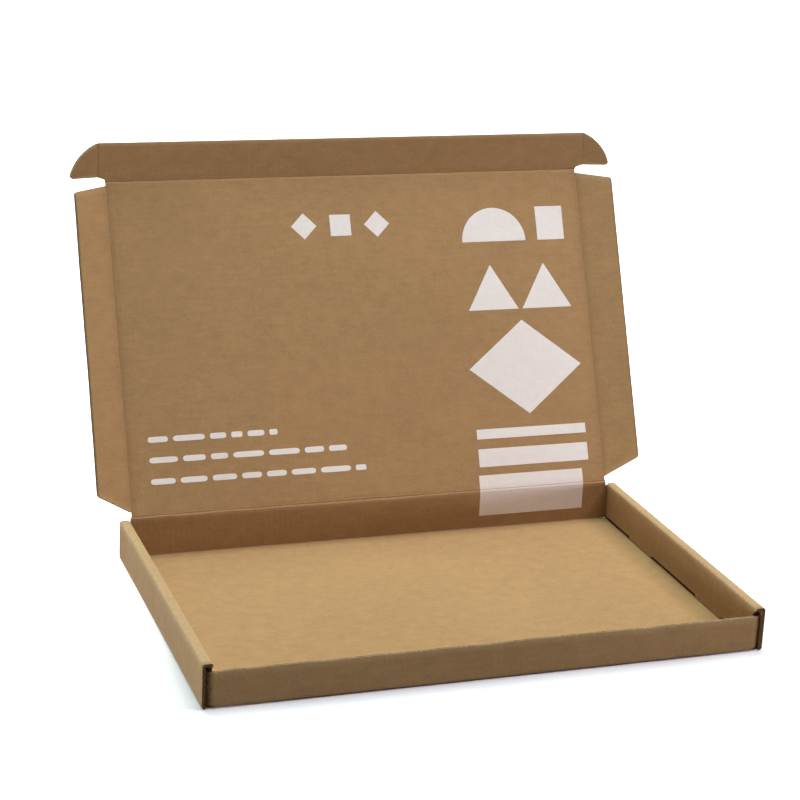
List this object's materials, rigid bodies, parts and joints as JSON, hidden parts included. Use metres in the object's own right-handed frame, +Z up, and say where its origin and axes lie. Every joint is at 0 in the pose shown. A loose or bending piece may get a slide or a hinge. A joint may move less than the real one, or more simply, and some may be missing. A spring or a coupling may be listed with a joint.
{
  "type": "corrugated mailer box",
  "caption": "Shallow roll-end mailer box of brown corrugated board, standing open, with a hinged lid, side flaps, a tuck flap and rounded ears.",
  "frame": {"origin": "centre of the tray's underside, on the surface that the box stands on", "axes": "+X along the box's long side to the viewer's right, +Y towards the lid hinge, +Z up"},
  "size_m": [0.3407, 0.2799, 0.2282],
  "materials": {
    "kraft_board": "matt brown kraft liner with fine fibre mottling"
  },
  "bodies": {
    "tray": {"tray": "kraft_board"},
    "lid": {"lid_panel": "kraft_board"},
    "side_flap_left": {"side_flap_left": "kraft_board"},
    "side_flap_right": {"side_flap_right": "kraft_board"},
    "tuck_flap": {"tuck_flap": "kraft_board"},
    "ear_left": {"ear_left": "kraft_board"},
    "ear_right": {"ear_right": "kraft_board"}
  },
  "joints": [
    {"name": "lid_hinge", "type": "hinge", "parent": "tray", "child": "lid", "pos_m": [0, 0.0992, 0.0256], "axis": [1, 0, 0], "range_deg": [-66, 86]},
    {"name": "tuck_flap_hinge", "type": "hinge", "parent": "lid", "child": "tuck_flap", "pos_m": [0, 0.17908, 0.20502], "axis": [1, 0, 0], "range_deg": [-24, 66]},
    {"name": "side_flap_left_hinge", "type": "hinge", "parent": "lid", "child": "side_flap_left", "pos_m": [-0.1488, 0.13914, 0.11531], "axis": [0, 0.4067, 0.9135], "range_deg": [-25, 65]},
    {"name": "side_flap_right_hinge", "type": "hinge", "parent": "lid", "child": "side_flap_right", "pos_m": [0.1488, 0.13914, 0.11531], "axis": [0, -0.4067, -0.9135], "range_deg": [-19, 71]},
    {"name": "ear_left_hinge", "type": "hinge", "parent": "tuck_flap", "child": "ear_left", "pos_m": [-0.1532, 0.17908, 0.21662], "axis": [0, 0, 1], "range_deg": [-10, 80]},
    {"name": "ear_right_hinge", "type": "hinge", "parent": "tuck_flap", "child": "ear_right", "pos_m": [0.1532, 0.17908, 0.21662], "axis": [0, 0, -1], "range_deg": [-10, 80]}
  ]
}
